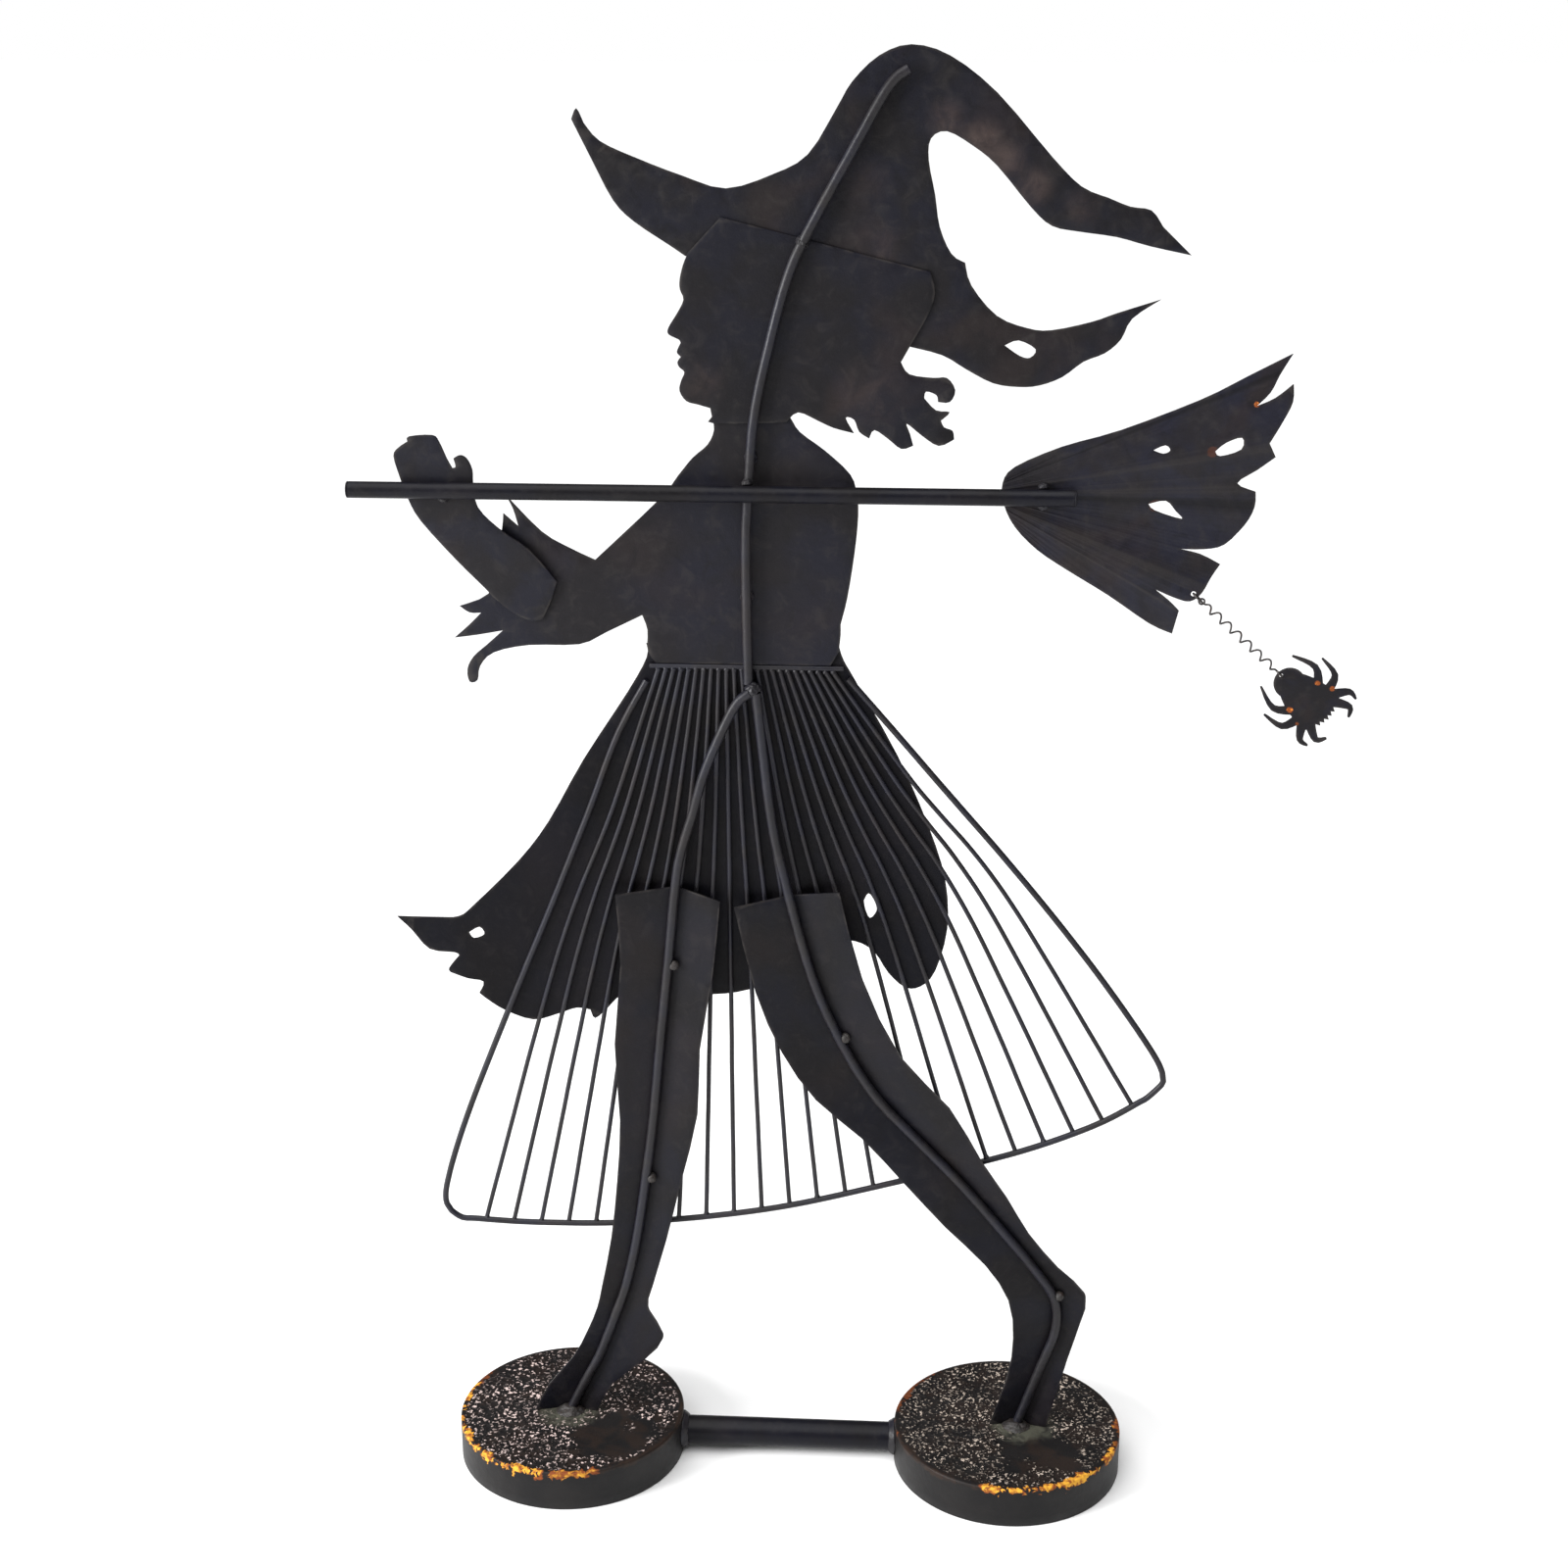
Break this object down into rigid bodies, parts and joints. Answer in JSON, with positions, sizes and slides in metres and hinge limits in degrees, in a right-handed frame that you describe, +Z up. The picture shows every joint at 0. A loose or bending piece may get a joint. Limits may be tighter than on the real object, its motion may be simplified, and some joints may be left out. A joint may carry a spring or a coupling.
{
  "type": "witch silhouette figure",
  "caption": "Free-standing welded steel witch silhouette with a rod-framed skirt, a broom and a spider on a coil spring, on two weighted round bases.",
  "frame": {"origin": "bottom centre of the whole object, on the surface it stands on", "axes": "+X along the broom towards its head, +Y towards the decorative face (the rods and the broom are on the -Y side), +Z up"},
  "size_m": [0.6065, 0.152, 0.919],
  "materials": {
    "sheet_steel": "satin black powder coat, faintly mottled",
    "rod_steel": "satin black powder coat",
    "base_steel": "pebbled black powder coat, worn to rust on the edges",
    "weld_steel": "brownish black over rough weld",
    "spring_steel": "dull dark wire",
    "ballast": "raw cast"
  },
  "bodies": {
    "root": {"hat_panel": "sheet_steel", "head_panel": "sheet_steel", "torso_panel": "sheet_steel", "forearm_panel": "sheet_steel", "skirt_panel": "sheet_steel", "left_leg_panel": "sheet_steel", "right_leg_panel": "sheet_steel", "spine_rod": "rod_steel", "left_leg_rod": "rod_steel", "right_leg_rod": "rod_steel", "waist_rod": "rod_steel", "skirt_hoop": "rod_steel", "skirt_rib_01": "rod_steel", "skirt_rib_02": "rod_steel", "skirt_rib_03": "rod_steel", "skirt_rib_04": "rod_steel", "skirt_rib_05": "rod_steel", "skirt_rib_06": "rod_steel", "skirt_rib_07": "rod_steel", "skirt_rib_08": "rod_steel", "skirt_rib_09": "rod_steel", "skirt_rib_10": "rod_steel", "skirt_rib_11": "rod_steel", "skirt_rib_12": "rod_steel", "skirt_rib_13": "rod_steel", "skirt_rib_14": "rod_steel", "skirt_rib_15": "rod_steel", "skirt_rib_16": "rod_steel", "skirt_rib_17": "rod_steel", "skirt_rib_18": "rod_steel", "skirt_rib_19": "rod_steel", "skirt_rib_20": "rod_steel", "skirt_rib_21": "rod_steel", "skirt_rib_22": "rod_steel", "skirt_rib_23": "rod_steel", "skirt_rib_24": "rod_steel", "broom_handle": "rod_steel", "broom_handle_plugs": "rod_steel", "broom_head": "sheet_steel", "cross_tube": "rod_steel", "left_base_cover": "base_steel", "left_base_ballast": "ballast", "left_base_plate": "base_steel", "right_base_cover": "base_steel", "right_base_ballast": "ballast", "right_base_plate": "base_steel", "foot_welds": "weld_steel", "cross_tube_welds": "weld_steel", "spine_welds": "weld_steel", "leg_rod_welds": "weld_steel", "handle_welds": "weld_steel"},
    "spring_loop": {"spring_end_loop": "spring_steel"},
    "coil": {"spider_spring": "spring_steel"},
    "spider": {"spider_plate": "sheet_steel"}
  },
  "joints": [
    {"name": "spider_bob", "type": "hinge", "parent": "root", "child": "spring_loop", "pos_m": [0.2022, -0.003, 0.6075], "axis": [0, 1, 0], "range_deg": [-30, 30], "stiffness_Nm_per_rad": 0.25, "springref_deg": -2.83},
    {"name": "spider_sway", "type": "hinge", "parent": "spring_loop", "child": "coil", "pos_m": [0.20815, -0.003, 0.60215], "axis": [0.6691, 0, 0.7431], "range_deg": [-20, 20], "stiffness_Nm_per_rad": 0.2},
    {"name": "spring_stretch", "type": "slide", "parent": "coil", "child": "spider", "axis": [0.7431, 0, -0.6691], "range_m": [-0.008, 0.03], "stiffness_N_per_m": 120, "springref_m": -0.00094, "deforming": ["spider_spring"]}
  ]
}
